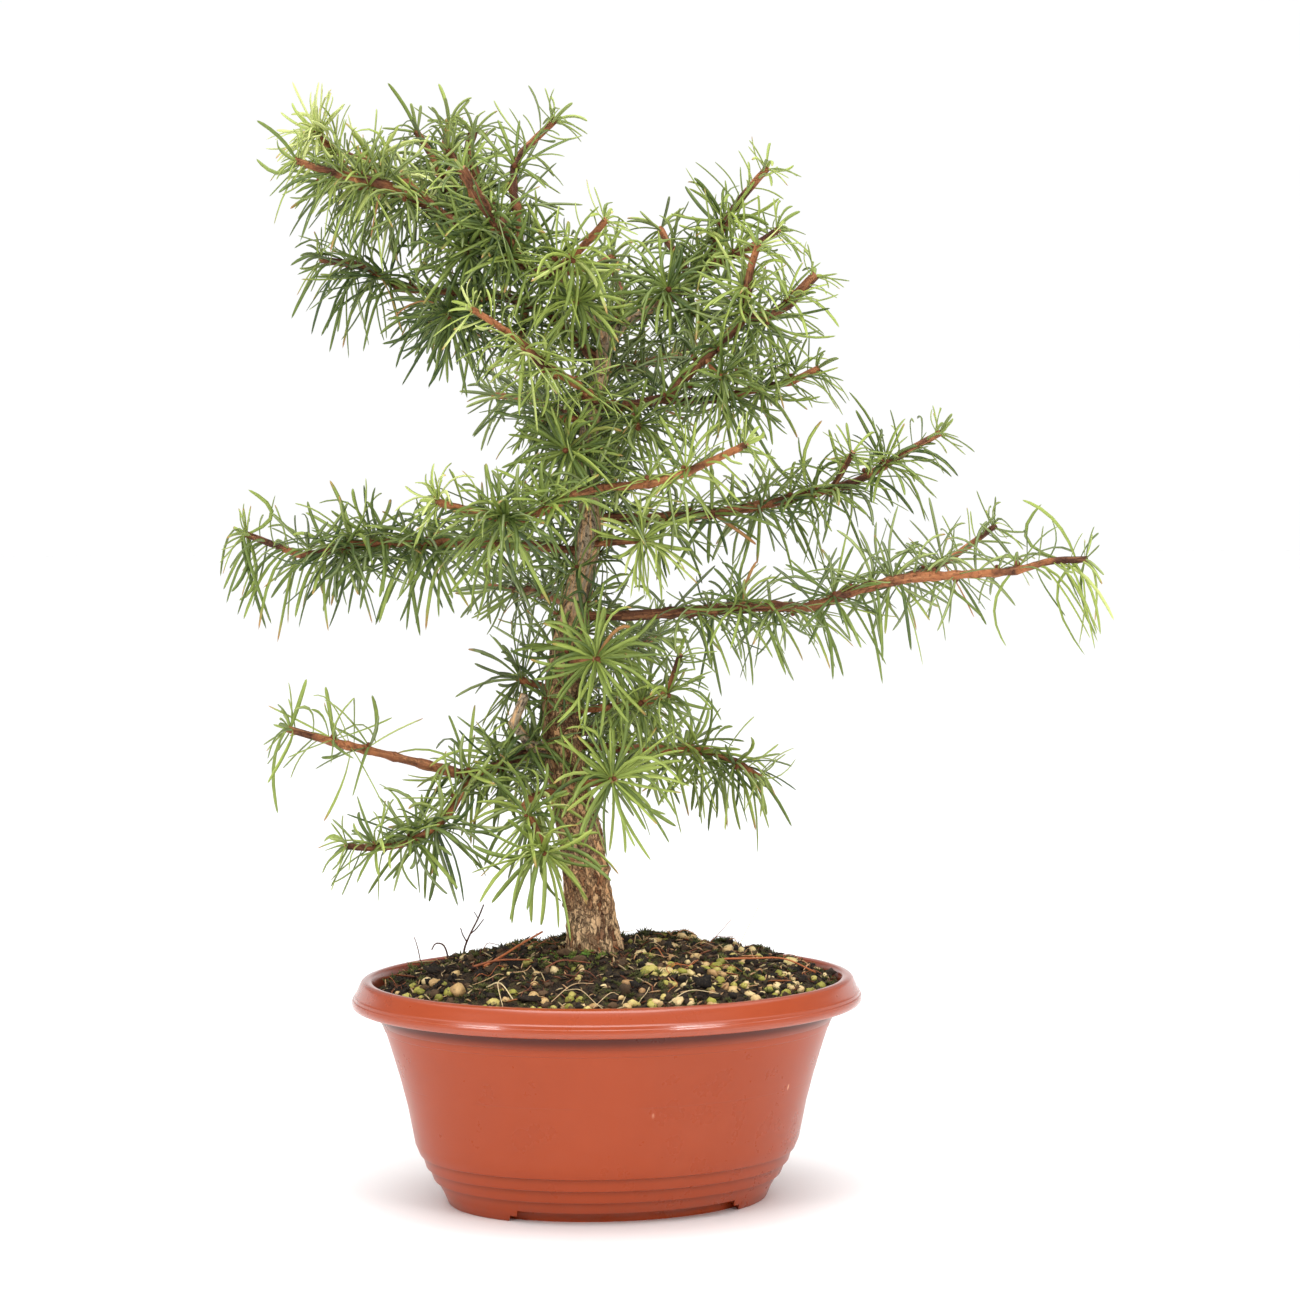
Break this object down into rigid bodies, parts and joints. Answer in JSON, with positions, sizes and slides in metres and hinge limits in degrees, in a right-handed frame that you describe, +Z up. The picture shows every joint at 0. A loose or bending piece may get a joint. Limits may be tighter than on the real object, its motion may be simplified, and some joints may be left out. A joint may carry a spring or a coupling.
{
  "type": "larch bonsai in a pot",
  "caption": "Young larch bonsai with an upright trunk and spreading branches in tufts of soft needles, planted in an oval plastic training pot filled with mossy soil",
  "frame": {"origin": "centre of the pot's flat underside, on the surface it stands on", "axes": "+X along the pot's long side, towards the tree's longest branch; +Y across the pot, away from the tree's best side; +Z up the trunk"},
  "size_m": [0.4227, 0.2424, 0.566],
  "materials": {
    "terracotta_plastic": "satin",
    "soil": "matte",
    "bark": "matte",
    "needles": "satin"
  },
  "bodies": {
    "root": {"pot": "terracotta_plastic", "soil": "soil", "trunk": "bark", "spray_back_centre": "needles", "spray_back_low_left": "needles", "spray_back_low_right": "needles", "spray_back_mid_left": "needles", "spray_back_mid_right": "needles", "spray_back_top": "needles", "spray_back_upper_left": "needles", "spray_back_upper_right": "needles", "spray_crown_left_back": "needles", "spray_crown_left_front": "needles", "spray_crown_left_long": "needles", "spray_crown_left_pale": "needles", "spray_crown_left_short": "needles", "spray_crown_left_under": "needles", "spray_crown_mid_back": "needles", "spray_crown_mid_cut": "needles", "spray_crown_mid_front": "needles", "spray_crown_mid_low": "needles", "spray_crown_mid_tall": "needles", "spray_crown_right_inner": "needles", "spray_crown_right_low": "needles", "spray_crown_right_tall": "needles", "spray_front_cross": "needles", "spray_front_left": "needles", "spray_front_right": "needles", "spray_low_front": "needles", "spray_low_left": "needles", "spray_low_right": "needles", "spray_mid_left": "needles", "spray_mid_right": "needles", "spray_right_long": "needles", "spray_second_left_drop": "needles", "spray_second_left_tip": "needles", "spray_spur_left_a": "needles", "spray_spur_left_b": "needles", "spray_spur_left_c": "needles", "spray_spur_limb_a": "needles", "spray_spur_limb_b": "needles", "spray_spur_limb_c": "needles", "spray_spur_limb_d": "needles", "spray_spur_limb_e": "needles", "spray_spur_limb_f": "needles", "spray_spur_limb_g": "needles", "spray_spur_limb_h": "needles", "spray_spur_north": "needles", "spray_spur_pale": "needles", "spray_spur_south": "needles", "spray_trunk_twig": "needles", "spray_upper_right_long": "needles", "spray_upper_right_low": "needles", "spray_upper_right_stub": "needles"}
  },
  "joints": []
}
